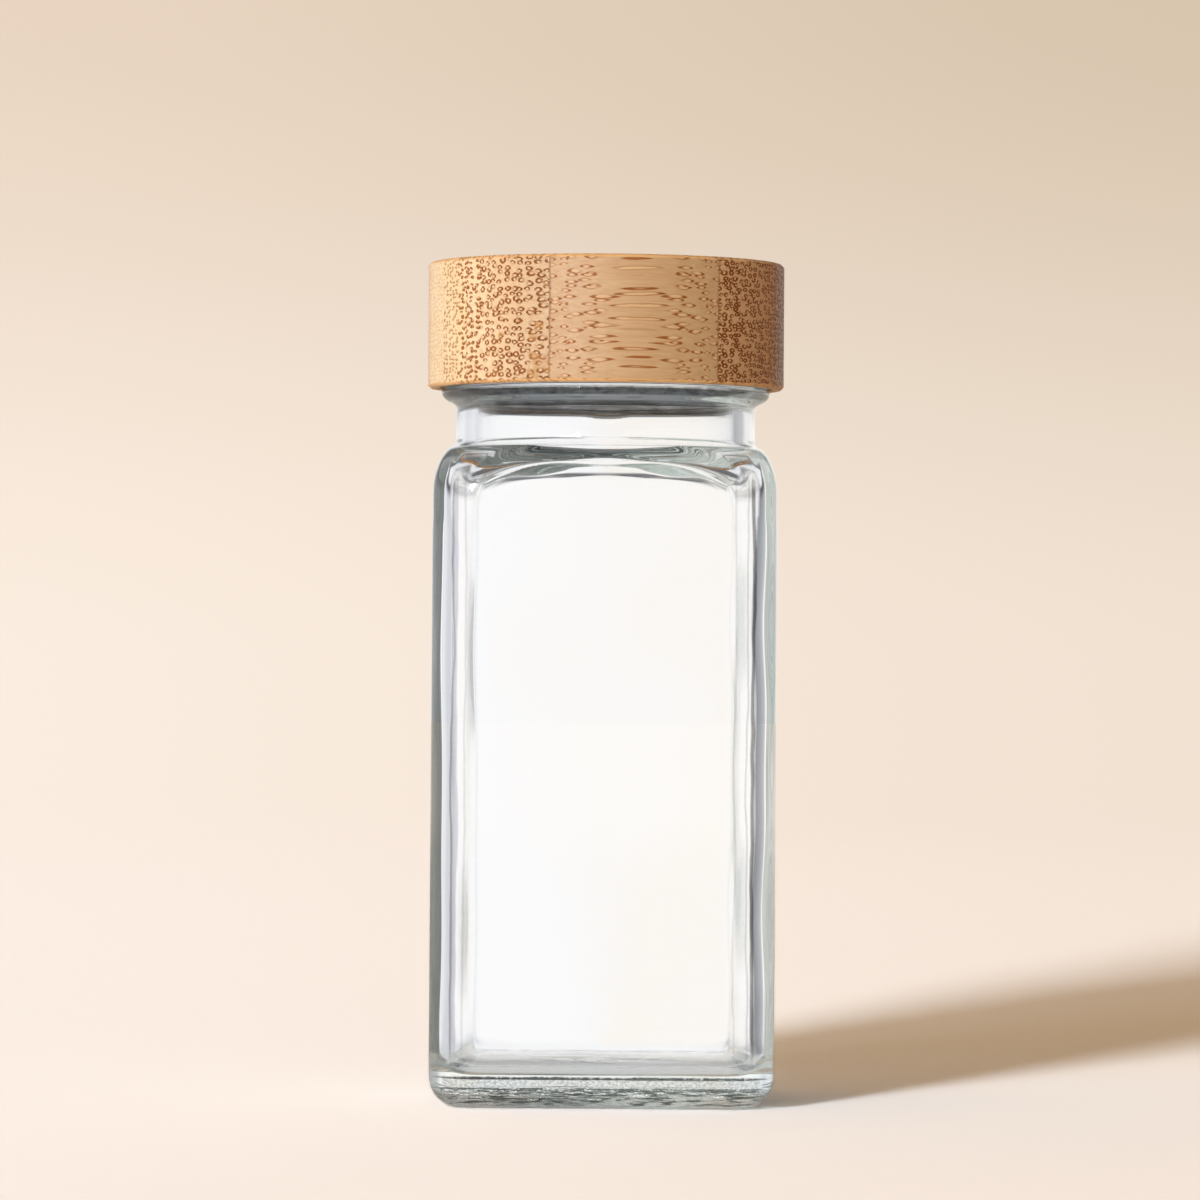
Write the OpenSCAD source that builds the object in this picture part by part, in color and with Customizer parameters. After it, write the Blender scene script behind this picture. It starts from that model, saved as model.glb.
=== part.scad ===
// Square glass spice jar with a threaded neck, a snap-in shaker insert
// and a laminated bamboo screw lid on a threaded plastic liner.
// Millimetres, +Z up, origin at the middle of the base, -Y is the front.

/* [Jar body] */
// Width of the square body across its flat panels
body_w = 44.45; // [43:0.05:50]
// Radius of the four upright corners, seen from above
body_corner_r = 6; // [5:0.1:8]
// Radius of the rounded heel where the panels turn under
heel_r = 4; // [2:0.1:4.6]
// Height of the top of the shoulder
shoulder_top_z = 85.4; // [60:0.1:140]
// Radius of the shoulder's rounded section
shoulder_r = 9.4; // [8.6:0.1:11]
// Radius over which the flat panels curve in under the neck
panel_top_r = 11.5; // [10:0.1:14]
// Height over which the flat panels curve in
panel_top_h = 6.4; // [4:0.1:7]
// Thickness of the side walls
wall_t = 2.5; // [1.8:0.05:3]
// Thickness of the floor
floor_t = 4.3; // [3:0.1:8]
// Thickness of the shoulder at its top
shoulder_t = 1.9; // [1.5:0.1:3]
// Radius of the cavity's upright corners
cavity_corner_r = 4.2; // [3.6:0.1:6]
// Radius of the cavity's rounded bottom edge
cavity_heel_r = 3; // [1:0.1:3.5]
// Radius of the hollow under the base
push_up_r = 15; // [8:0.1:16]
// Depth of the hollow under the base
push_up_depth = 0.8; // [0.3:0.05:1.5]

/* [Neck] */
// Outer radius of the neck
neck_r = 19.6; // [18.5:0.05:19.8]
// Thickness of the neck's wall
neck_wall_t = 2.7; // [2.2:0.05:3.2]
// Height from the top of the shoulder to the rim
neck_h = 18.1; // [17.5:0.1:26]
// Height from the top of the bead to the rim
finish_h = 10.5; // [10.2:0.1:12]
// Radius of the hollow curve between shoulder and neck
neck_fillet_r = 1; // [0.5:0.1:1.8]
// How far the bead stands out from the neck
bead_reach = 2.06; // [1.4:0.02:2.4]
// Radius of the bead's round nose
bead_nose_r = 0.75; // [0.5:0.05:1]
// Radius of the rounded edges of the rim
rim_edge_r = 0.8; // [0.3:0.05:0.9]

/* [Screw thread] */
// Rise of the thread in one full turn
thread_pitch = 4.23; // [3.9:0.01:4.6]
// How far the thread stands out from the neck
thread_depth = 1.1; // [0.8:0.05:1.3]
// Width of both threads at the wall that carries them
thread_root_w = 2.2; // [1.8:0.05:2.3]
// Width of both threads at their crest
thread_crest_w = 1; // [0.6:0.05:1.2]
// Turns of thread on the neck
neck_thread_turns = 1.5; // [1.2:0.05:1.6]
// Turns of thread in the lid's liner
liner_thread_turns = 1.05; // [0.8:0.05:1.1]
// Radial gap between a crest and the wall opposite
thread_gap = 0.3; // [0.2:0.05:0.5]
// Gap between the flanks that carry the closed lid
flank_gap = 0.2; // [0.1:0.05:0.4]

/* [Shaker insert] */
// Thickness of the shaker's sieve plate and flange
shaker_t = 0.7; // [0.6:0.05:1.2]
// How far the flange stays back from the neck's outer face
flange_setback = 0.9; // [0.6:0.1:1.2]
// Depth of the skirt that plugs the bore
plug_depth = 4.5; // [3:0.1:7]
// Thickness of the plug's skirt
plug_wall_t = 0.9; // [0.7:0.05:1.2]
// Radial gap between the skirt and the bore
plug_gap = 0.3; // [0.25:0.05:0.5]
// Radial gap between the skirt's grip ring and the bore
grip_gap = 0.06; // [0.03:0.01:0.1]
// Height of the grip ring
grip_h = 0.9; // [0.5:0.1:1.5]
// Diameter of the shaker's holes
hole_d = 4.6; // [4.2:0.1:5]
// Radius of the ring of holes
hole_ring_r = 9.6; // [8:0.1:11]
// Number of holes in the ring
hole_count = 6; // [4:1:7]

/* [Lid] */
// Thickness of the sealing disc
seal_t = 1; // [0.5:0.05:1.5]
// Radial gap between the sealing disc and the liner
seal_gap = 0.4; // [0.2:0.05:0.6]
// Gap between the sealing disc and the shaker
seal_rest_gap = 0.05; // [0.02:0.01:0.1]
// Thickness of the liner's wall
liner_wall_t = 0.8; // [0.6:0.05:1.5]
// Thickness of the liner's top
liner_top_t = 1.2; // [0.8:0.05:2]
// How far the liner stays up from the lid's lower edge
liner_setback = 0.3; // [0.1:0.05:0.5]
// Glue line between the liner's side and the bamboo
glue_gap = 0.05; // [0.02:0.01:0.1]
// Thickness of the bamboo around the liner
bamboo_wall_t = 1.5; // [1.2:0.05:5]
// Thickness of the bamboo over the liner
bamboo_top_t = 3.15; // [2:0.05:8]
// Gap between the lid's lower edge and the bead
lid_bead_gap = 0.2; // [0.1:0.05:0.6]
// Chamfer on the lid's upper and lower edge
lid_chamfer = 0.35; // [0.1:0.05:0.8]
// Thickness of the bamboo strip at the front
face_strip_t = 2.75; // [1.6:0.05:5]
// Thickness of the bamboo strips behind it
strip_t = 9.1; // [8.5:0.1:9.8]
// Turn of the bamboo strips away from the jar's front
strip_turn = 10; // [0:1:45]

/* [Hidden] */

$fn = 96;
thread_steps = 32; // rings in each turn of a thread
thread_fade = 24; // degrees over which a thread rises from its wall
thread_sink = 0.4; // how deep a thread's foot goes into its wall
strip_count = 6;
past = 1; // how far a cutter goes past the surface that it opens

// Heights
rim_z = shoulder_top_z + neck_h;
bead_top_z = rim_z - finish_h;
shaker_top_z = rim_z + shaker_t;
seal_z = shaker_top_z + seal_rest_gap;
liner_ceiling_z = seal_z + seal_t;
liner_top_z = liner_ceiling_z + liner_top_t;
lid_z = bead_top_z + lid_bead_gap;
lid_top_z = liner_top_z + bamboo_top_t;

// Radii
bore_r = neck_r - neck_wall_t;
thread_r = neck_r + thread_depth;
liner_bore_r = thread_r + thread_gap;
liner_r = liner_bore_r + liner_wall_t;
lid_bore_r = liner_r + glue_gap;
lid_r = lid_bore_r + bamboo_wall_t;

// The shoulder is a turned dome that cuts off the square body's top
dome_margin = 0.45; // how far the dome's equator clears the body's corners
cavity_w = body_w - 2 * wall_t;
dome_reach = corner_reach(body_w, body_corner_r) + dome_margin;
dome_r = dome_reach - shoulder_r;
cavity_shoulder_r = shoulder_r - wall_t / 3;
cavity_dome_reach = corner_reach(cavity_w, cavity_corner_r) + dome_margin;
cavity_dome_r = cavity_dome_reach - cavity_shoulder_r;
cavity_top_z = shoulder_top_z - shoulder_t;

// Threads: both helices rise alike, and the liner's runs below the neck's
neck_thread_z = bead_top_z + thread_root_w / 2 + 1.3;
flank_slope = (thread_root_w - thread_crest_w) / 2 / thread_depth;
thread_offset = (thread_root_w + thread_crest_w) / 2 - flank_slope * thread_gap + flank_gap;
liner_thread_start = 0.3; // turns by which the liner's thread starts after the neck's

// Half the diagonal of a square with rounded corners
function corner_reach(w, r) = (w / 2 - r) * sqrt(2) + r;

// What is left of a square's corner outside its rounding
module corner_notch(r) {
    difference() {
        square(r + past);
        circle(r);
    }
}

// Square block with rounded uprights and a rounded bottom edge
module rounded_block(w, corner, heel, h) {
    for (a = [0, 90])
        rotate([90, 0, a])
            linear_extrude(w - 2 * corner, center = true)
                difference() {
                    translate([-w / 2, 0])
                        square([w, h]);
                    for (side = [0, 1])
                        mirror([side, 0])
                            translate([w / 2 - heel, heel])
                                mirror([0, 1])
                                    corner_notch(heel);
                }
    for (x = [-1, 1], y = [-1, 1])
        translate([x, y] * (w / 2 - corner))
            rotate_extrude()
                difference() {
                    square([corner, h]);
                    translate([corner - heel, heel])
                        mirror([0, 1])
                            corner_notch(heel);
                }
}

// Turned dome with a flat top inside its rounded shoulder
module dome(reach, shoulder, ring_r, top_z) {
    rotate_extrude()
        union() {
            translate([0, -past])
                square([reach, top_z - shoulder + past]);
            square([ring_r, top_z]);
            translate([ring_r, top_z - shoulder])
                circle(shoulder);
        }
}

// Trims a shoulder's two opposite flat sides to their rounded tops
module panel_tops(w, r, turn) {
    rotate([90, 0, turn])
        linear_extrude(body_w + 2 * past, center = true)
            difference() {
                translate([-w / 2, -past])
                    square([w, shoulder_top_z + 2 * past + neck_fillet_r]);
                for (side = [0, 1])
                    mirror([side, 0])
                        translate([w / 2 - r, shoulder_top_z - panel_top_h])
                            corner_notch(r);
            }
}

// Hollow curve from the shoulder up into the neck
module neck_fillet() {
    rise = sqrt(pow(shoulder_r + neck_fillet_r, 2) - pow(neck_r + neck_fillet_r - dome_r, 2));
    centre = [neck_r + neck_fillet_r, shoulder_top_z - shoulder_r + rise - 0.01];
    rotate_extrude()
        difference() {
            translate([bore_r, centre.y - 2 * neck_fillet_r])
                square([centre.x - bore_r, 2 * neck_fillet_r]);
            translate(centre)
                circle(neck_fillet_r);
        }
}

// Round-nosed ring under the lid
module bead() {
    nose = [neck_r + bead_reach - bead_nose_r, bead_top_z - bead_nose_r];
    rotate_extrude() {
        translate(nose)
            circle(bead_nose_r);
        polygon([
            [bore_r, bead_top_z],
            [nose.x, bead_top_z],
            [nose.x, bead_top_z - 2 * bead_nose_r],
            [neck_r, bead_top_z - 2 * bead_nose_r - bead_reach / 4],
            [bore_r, bead_top_z - 2 * bead_nose_r - bead_reach / 4]
        ]);
    }
}

// One ring of a thread: foot and crest, below and above the helix
function thread_ring(i, n, turns, foot, crest, root_w, crest_w, z) =
    let (a = 360 * turns * i / n,
         rise = min(1, a / thread_fade, (360 * turns - a) / thread_fade),
         tip = foot + (crest - foot) * max(rise, 0.1),
         mid = z + thread_pitch * a / 360)
    [
        for (p = [[foot, -root_w], [tip, -crest_w], [tip, crest_w], [foot, root_w]])
            [p.x * cos(a), p.x * sin(a), mid + p.y / 2]
    ];

// Helical ridge from foot to crest, outward or inward
module thread(turns, foot, crest, z) {
    n = ceil(turns * thread_steps);
    points = [
        for (i = [0:n])
            each thread_ring(i, n, turns, foot, crest, thread_root_w, thread_crest_w, z)
    ];
    sides = [
        for (i = [0:n - 1], k = [0:3])
            let (a = 4 * i + k, b = 4 * i + (k + 1) % 4)
            each [[a, b, b + 4], [a, b + 4, a + 4]]
    ];
    ends = [[0, 2, 1], [0, 3, 2], [4 * n, 4 * n + 1, 4 * n + 2], [4 * n, 4 * n + 2, 4 * n + 3]];
    faces = concat(sides, ends);
    outward = crest > foot;
    polyhedron(points, outward ? faces : [for (f = faces) [f[2], f[1], f[0]]]);
}

module jar_outside() {
    intersection() {
        union() {
            intersection() {
                rounded_block(body_w, body_corner_r, heel_r, shoulder_top_z + past);
                dome(dome_reach, shoulder_r, dome_r, shoulder_top_z);
            }
            neck_fillet();
        }
        panel_tops(body_w, panel_top_r, 0);
        panel_tops(body_w, panel_top_r, 90);
    }
    bead();
    rotate_extrude()
        difference() {
            translate([0, shoulder_top_z - shoulder_r])
                square([neck_r, neck_h + shoulder_r]);
            translate([neck_r - rim_edge_r, rim_z - rim_edge_r])
                corner_notch(rim_edge_r);
        }
    thread(neck_thread_turns, neck_r - thread_sink, thread_r, neck_thread_z);
}

module jar_cavity() {
    intersection() {
        translate([0, 0, floor_t])
            rounded_block(cavity_w, cavity_corner_r, cavity_heel_r, cavity_top_z);
        dome(cavity_dome_reach, cavity_shoulder_r, cavity_dome_r, cavity_top_z);
        panel_tops(cavity_w, panel_top_r - wall_t, 0);
        panel_tops(cavity_w, panel_top_r - wall_t, 90);
    }
    rotate_extrude() {
        translate([0, floor_t + past])
            square([bore_r, rim_z - floor_t]);
        translate([bore_r + rim_edge_r, rim_z - rim_edge_r])
            mirror([1, 0])
                corner_notch(rim_edge_r);
    }
}

// Shallow round hollow that leaves the jar standing on a ring
module push_up() {
    ball_r = (pow(push_up_r, 2) + pow(push_up_depth, 2)) / (2 * push_up_depth);
    translate([0, 0, push_up_depth - ball_r])
        sphere(ball_r);
}

module glass_jar() {
    color([0.86, 0.93, 0.92, 0.45])
        difference() {
            jar_outside();
            jar_cavity();
            push_up();
        }
}

module shaker_insert() {
    plug_r = bore_r - plug_gap;
    color([0.93, 0.94, 0.95])
        difference() {
            rotate_extrude() {
                translate([0, rim_z])
                    square([neck_r - flange_setback, shaker_t]);
                translate([plug_r - plug_wall_t, rim_z - plug_depth])
                    square([plug_wall_t, plug_depth + shaker_t / 2]);
                translate([plug_r - plug_wall_t, rim_z - plug_depth])
                    square([plug_wall_t + plug_gap - grip_gap, grip_h]);
            }
            for (i = [0:hole_count])
                rotate(i * 360 / hole_count)
                    translate([i == hole_count ? 0 : hole_ring_r, 0, rim_z - past])
                        cylinder(d = hole_d, h = shaker_t + 2 * past);
        }
}

module seal_disc() {
    color([0.96, 0.96, 0.93])
        translate([0, 0, seal_z])
            cylinder(r = liner_bore_r - seal_gap, h = seal_t);
}

module cap_liner() {
    start = liner_thread_start;
    color([0.95, 0.95, 0.94]) {
        difference() {
            translate([0, 0, lid_z + liner_setback])
                cylinder(r = liner_r, h = liner_top_z - lid_z - liner_setback);
            translate([0, 0, lid_z - past])
                cylinder(r = liner_bore_r, h = liner_ceiling_z - lid_z + past);
        }
        rotate(360 * start)
            thread(liner_thread_turns, liner_bore_r + thread_sink, neck_r + thread_gap,
                   neck_thread_z + thread_pitch * start - thread_offset);
    }
}

// The bamboo block, turned outside and bored for the liner
module lid_shell() {
    difference() {
        rotate_extrude()
            polygon([
                [0, lid_z],
                [lid_r - lid_chamfer, lid_z],
                [lid_r, lid_z + lid_chamfer],
                [lid_r, lid_top_z - lid_chamfer],
                [lid_r - lid_chamfer, lid_top_z],
                [0, lid_top_z]
            ]);
        translate([0, 0, lid_z - past])
            cylinder(r = lid_bore_r, h = liner_top_z - lid_z + past);
    }
}

// One strip of the laminated block, counted from the front
module bamboo_strip(i) {
    front = i == 1 ? lid_r + past : lid_r - face_strip_t - (i - 2) * strip_t;
    back = i == strip_count ? -lid_r - past : lid_r - face_strip_t - (i - 1) * strip_t;
    tones = ["burlywood", "tan", "wheat", "burlywood", "tan", "wheat"];
    color(tones[i - 1])
        intersection() {
            lid_shell();
            rotate(strip_turn)
                translate([-lid_r - past, -front, lid_z - past])
                    cube([2 * (lid_r + past), front - back, lid_top_z - lid_z + 2 * past]);
        }
}

glass_jar();
shaker_insert();
seal_disc();
cap_liner();
for (i = [1:strip_count])
    bamboo_strip(i);
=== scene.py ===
"""Square glass spice jar with a shaker insert and a laminated bamboo screw lid.

It is laid out as an add-on and run as a script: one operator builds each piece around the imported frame.
Metres, +Z up, the jar stands on z = 0 and its front panel faces -Y.
"""

import math

import bmesh
import bpy
import numpy as np
from bpy.props import FloatProperty, FloatVectorProperty, PointerProperty
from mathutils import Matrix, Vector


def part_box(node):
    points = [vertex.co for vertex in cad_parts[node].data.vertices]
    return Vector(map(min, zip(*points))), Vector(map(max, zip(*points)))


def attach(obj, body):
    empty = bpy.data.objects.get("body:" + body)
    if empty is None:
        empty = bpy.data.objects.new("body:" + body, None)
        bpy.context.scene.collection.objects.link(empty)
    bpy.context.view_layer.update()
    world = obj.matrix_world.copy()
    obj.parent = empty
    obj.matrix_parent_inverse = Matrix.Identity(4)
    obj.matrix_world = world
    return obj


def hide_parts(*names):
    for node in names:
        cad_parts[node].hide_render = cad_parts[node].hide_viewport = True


bl_info = {
    "name": "Spice jar",
    "version": (1, 0, 0),
    "blender": (4, 5, 0),
    "location": "View3D > Sidebar > Spice jar",
    "description": "Builds a square glass spice jar with a bamboo lid",
    "category": "Add Mesh",
}

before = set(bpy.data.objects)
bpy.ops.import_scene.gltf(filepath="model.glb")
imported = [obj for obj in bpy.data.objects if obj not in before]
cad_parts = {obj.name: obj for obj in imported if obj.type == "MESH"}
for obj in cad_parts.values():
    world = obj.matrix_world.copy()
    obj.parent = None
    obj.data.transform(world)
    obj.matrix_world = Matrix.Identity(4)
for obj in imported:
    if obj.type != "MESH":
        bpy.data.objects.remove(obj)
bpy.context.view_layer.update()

MM = 0.001
JAR_LOW, JAR_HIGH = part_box("glass_jar")
LINER_LOW, LINER_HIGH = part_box("cap_liner")
SEAL_LOW, SEAL_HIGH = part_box("seal_disc")
SHAKER_LOW, SHAKER_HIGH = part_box("shaker_insert")
STRIPS = ["bamboo_strip_%d" % i for i in range(1, 7)]
LID_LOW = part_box(STRIPS[0])[0].z
LID_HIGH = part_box(STRIPS[0])[1].z
LID_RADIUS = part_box(STRIPS[2])[1].x


def size(name, value, text):
    """A length in metres that the sidebar shows."""
    return FloatProperty(name=name, description=text, default=value, unit="LENGTH", precision=5)


def tint(name, value, text):
    """A colour that the sidebar shows."""
    return FloatVectorProperty(name=name, description=text, default=value, size=3, subtype="COLOR", min=0, max=1)


class GlassSizes(bpy.types.PropertyGroup):
    """Sizes of the glass jar"""

    half_width: size("Half width", JAR_HIGH.x, "From the axis to a flat panel")
    corner: size("Corner radius", 6.0 * MM, "Radius of the upright corners")
    heel: size("Heel radius", 4.0 * MM, "Radius where the panels turn under")
    wall: size("Wall", 2.5 * MM, "Thickness of the side walls")
    floor: size("Floor", 4.3 * MM, "Thickness of the floor")
    shoulder_top: size("Shoulder top", 85.4 * MM, "Height of the top of the shoulder")
    shoulder: size("Shoulder radius", 9.4 * MM, "Radius of the shoulder's rounded section")
    panel_top: size("Panel top", 11.5 * MM, "Radius over which the panels curve in under the neck")
    neck: size("Neck radius", 19.6 * MM, "Outer radius of the neck")
    bore: size("Bore radius", 16.9 * MM, "Inner radius of the neck")
    rim: size("Rim height", JAR_HIGH.z, "Height of the mouth's rim")
    bead_top: size("Bead top", 93.0 * MM, "Height of the top of the bead under the lid")
    thread_depth: size("Thread depth", 1.1 * MM, "How far the thread stands out from the neck")
    thread_pitch: size("Thread pitch", 4.23 * MM, "Rise of the thread in one turn")
    lip: size("Lip radius", 3.4 * MM, "Radius over which the cavity widens under the neck")
    ripple: size("Ripple", 0.32 * MM, "How far the pressed inner wall wanders")
    glass: tint("Glass", (1.0, 1.0, 1.0), "Colour of the glass")


class LidSizes(bpy.types.PropertyGroup):
    """Sizes of the lid, its liner, the sealing disc and the shaker"""

    radius: size("Lid radius", LID_RADIUS, "Outer radius of the bamboo")
    low: size("Lower edge", LID_LOW, "Height of the lid's lower edge")
    high: size("Upper edge", LID_HIGH, "Height of the lid's top")
    chamfer: size("Chamfer", 0.35 * MM, "Chamfer on the lid's edges")
    bore: size("Bore radius", 21.85 * MM, "Radius of the bore that takes the liner")
    ceiling: size("Ceiling", LINER_HIGH.z, "Height of the bore's end")
    face_strip: size("Front strip", 2.75 * MM, "Thickness of the strip at the front")
    strip: size("Strip", 9.1 * MM, "Thickness of the strips behind it")
    turn: FloatProperty(
        name="Strip turn", description="Turn of the strips away from the jar's front",
        default=math.radians(10), subtype="ANGLE",
    )
    dark: tint("Fibre brown", (0.26, 0.095, 0.02), "The fibre bundles' darkest colour, as a share of the ground's")
    liner: tint("Liner", (0.80, 0.80, 0.79), "Colour of the threaded liner")
    seal: tint("Seal", (0.86, 0.86, 0.83), "Colour of the sealing disc")
    shaker: tint("Shaker", (0.80, 0.83, 0.85), "Colour of the shaker insert")


class StageLook(bpy.types.PropertyGroup):
    """Floor, backdrop and camera"""

    floor: tint("Floor", (0.93, 0.86, 0.79), "Colour of the paper the jar stands on")
    horizon: tint("Horizon", (0.95, 0.84, 0.735), "Backdrop at eye level")
    # painted shade: the backdrop is darker towards the top
    zenith: tint("Upper backdrop", (0.80, 0.66, 0.53), "Backdrop at the top of the picture")
    distance: size("Camera distance", 0.85, "From the camera to the jar's axis")
    height: size("Camera height", 55.6 * MM, "Height of the camera over the floor")
    lens: FloatProperty(name="Lens", description="Focal length on a 36 mm sensor", default=194.2, min=20, max=400)


# ---------------------------------------------------------------- modelling


def pick(piece):
    """Selects this piece alone and makes it the active one."""
    bpy.ops.object.select_all(action="DESELECT")
    piece.select_set(True)
    bpy.context.view_layer.objects.active = piece


def in_edit_mode(piece):
    pick(piece)
    bpy.ops.object.mode_set(mode="EDIT")
    bpy.ops.mesh.select_mode(type="VERT")


def in_object_mode():
    bpy.ops.object.mode_set(mode="OBJECT")


def settle(piece, name, smooth=32):
    """Names the piece, puts its place into its mesh and shades it."""
    piece.name = piece.data.name = name
    pick(piece)
    bpy.ops.object.transform_apply(location=True, rotation=True, scale=True)
    bpy.ops.object.shade_smooth_by_angle(angle=math.radians(smooth))
    return piece


def modify(piece, kind, **settings):
    """Adds a modifier and applies it."""
    pick(piece)
    modifier = piece.modifiers.new(kind.title(), kind)
    for key, value in settings.items():
        setattr(modifier, key, value)
    bpy.ops.object.modifier_apply(modifier=modifier.name)


def turned(profile, segments):
    """A turned solid: a disc whose edge is drawn from ring to ring of (radius, height), and closed at the end."""
    radius, height = profile[0]
    bpy.ops.object.select_all(action="DESELECT")
    bpy.ops.mesh.primitive_circle_add(vertices=segments, radius=radius, fill_type="NGON", location=(0, 0, height))
    piece = bpy.context.object
    in_edit_mode(piece)
    bpy.ops.mesh.select_all(action="SELECT")
    bpy.ops.mesh.delete(type="ONLY_FACE")
    bpy.ops.mesh.select_all(action="SELECT")
    bpy.ops.mesh.duplicate()  # the ring that is drawn on; the first one is capped at the end
    for next_radius, next_height in profile[1:]:
        bpy.ops.mesh.extrude_region_move(TRANSFORM_OT_translate={"value": (0, 0, next_height - height)})
        grow = next_radius / radius
        bpy.ops.transform.resize(value=(grow, grow, 1), center_override=(0, 0, next_height))
        radius, height = next_radius, next_height
    bpy.ops.mesh.edge_face_add()
    bpy.ops.mesh.select_all(action="DESELECT")
    mesh = bmesh.from_edit_mesh(piece.data)
    for edge in mesh.edges:
        if not edge.link_faces:
            edge.select = True
            for corner in edge.verts:
                corner.select = True
    mesh.select_flush(True)
    bpy.ops.mesh.edge_face_add()
    bpy.ops.mesh.select_all(action="SELECT")
    bpy.ops.mesh.remove_doubles(threshold=1e-7)
    bpy.ops.mesh.normals_make_consistent(inside=False)
    in_object_mode()
    return piece


def drawn_from_ball(rings, first_pole, last_pole):
    """A closed skin: the rings of a ball are laid along the walls, as rings of (x, y, z), pole to pole.

    No operator turns a square body into a domed neck or winds a thread out of a wall.
    """
    count, segments = len(rings), len(rings[0])
    bpy.ops.object.select_all(action="DESELECT")
    bpy.ops.mesh.primitive_uv_sphere_add(segments=segments, ring_count=count + 1, radius=1)
    piece = bpy.context.object
    place = np.empty(len(piece.data.vertices) * 3)
    piece.data.vertices.foreach_get("co", place)
    place = place.reshape(-1, 3)
    row = np.rint(np.arccos(np.clip(place[:, 2], -1, 1)) / math.pi * (count + 1)).astype(int)
    column = np.rint(np.arctan2(place[:, 1], place[:, 0]) / math.tau * segments).astype(int) % segments
    inner = (row > 0) & (row <= count)
    laid = np.array(rings)
    place[inner] = laid[row[inner] - 1, column[inner]]
    place[row == 0] = first_pole
    place[row == count + 1] = last_pole
    piece.data.vertices.foreach_set("co", place.ravel())
    piece.data.update()
    in_edit_mode(piece)
    bpy.ops.mesh.select_all(action="SELECT")
    bpy.ops.mesh.normals_make_consistent(inside=False)
    in_object_mode()
    return piece


def arc(centre, radius, start, end, steps):
    """Points (radius, height) along an arc, angles in degrees from the horizontal."""
    turns = [math.radians(start + (end - start) * i / steps) for i in range(steps + 1)]
    return [(centre[0] + radius * math.cos(a), centre[1] + radius * math.sin(a)) for a in turns]


def rounded_square(angle, half, corner):
    """Distance from the axis to a square with rounded corners, along each angle."""
    c, s = np.abs(np.cos(angle)), np.abs(np.sin(angle))
    flat = half / np.maximum(c, s)
    inner = half - corner
    along = (c + s) * inner
    bend = along + np.sqrt(np.maximum(along**2 - 2 * inner**2 + corner**2, 0))
    return np.where(flat * np.minimum(c, s) > inner, bend, flat)


def soft_least(a, b, blend):
    """The smaller of two lengths, rounded over where they cross."""
    h = np.clip(0.5 + 0.5 * (b - a) / blend, 0, 1)
    return b * (1 - h) + a * h - blend * h * (1 - h)


THREAD_ROOT = 2.2 * MM  # the thread's width where it meets the wall
THREAD_CREST = 1.0 * MM  # and at its top
THREAD_FADE = 24 / 360  # share of a turn over which it rises at its ends
THREAD_START = 2.4 * MM  # over the bead


def helix_height(angle, z, start_z, pitch, turns, start_turn, depth):
    """How far a screw thread stands out at each angle of a ring at height z."""
    out = np.zeros_like(angle)
    for k in range(-1, 3):
        along = angle / math.tau - start_turn + k
        rise = np.clip(np.minimum(along, turns - along) / THREAD_FADE, 0, 1)
        off = np.abs(z - start_z - pitch * along)
        out = np.maximum(out, rise * np.clip((THREAD_ROOT / 2 - off) / ((THREAD_ROOT - THREAD_CREST) / 2), 0, 1))
    return depth * out * out * (3 - 2 * out)


SEGMENTS = 256  # round each ring of the glass


def ring_angles(dense=0.55):
    """Angles round a ring, closer together at the four upright corners."""
    even = np.arange(SEGMENTS) / SEGMENTS * math.tau
    return even + dense * np.sin(4 * even) / 4


def ring_at(angle, reach, z):
    """A ring of (x, y, z); reach and height are one value or one for each angle."""
    reach = np.broadcast_to(reach, angle.shape)
    z = np.broadcast_to(z, angle.shape)
    return np.stack([reach * np.cos(angle), reach * np.sin(angle), z], axis=1)


def wander(angle, z, ripple):
    """The slow unevenness that pressing leaves on the inside of the walls."""
    z = z / MM
    right = np.maximum(np.cos(angle), 0) ** 2
    left = np.maximum(-np.cos(angle), 0) ** 2
    back = np.maximum(np.sin(angle), 0) ** 2
    front = np.maximum(-np.sin(angle), 0) ** 2
    wave = right * (np.sin(z / 6.3 + 0.8) * 0.9 + 0.5 * np.sin(z / 2.9 + 2.1))
    wave = wave + left * (np.sin(z / 11.0 + 2.2) * 0.8 + 0.35 * np.sin(z / 4.1))
    wave = wave + 0.4 * back * np.sin(z / 9.0) + 0.25 * front * np.sin(z / 13.0 + 1)
    fade = min(1, max(0, (z - 7) / 8)) * min(1, max(0, (80 - z) / 8))
    return ripple * wave * fade


PANEL_DROP = 6.4 * MM  # from the shoulder's top down to where the flat panels start to curve in


def curve_in(z, top, radius):
    """How far a flat panel has curved in under the neck at height z."""
    rise = min(max(z - top + PANEL_DROP, 0), radius)
    return radius - math.sqrt(radius**2 - rise**2)


BEAD_REACH = 2.02 * MM
# The bead's under side in mm, from the neck out to its nose: (in from the nose's tip, down from its middle)
BEAD_SLOPE = (
    (2.02, 2.2), (1.96, 1.75), (1.80, 1.48), (1.47, 1.28), (1.02, 1.08), (0.62, 0.84), (0.34, 0.58), (0.14, 0.30),
)


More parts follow.
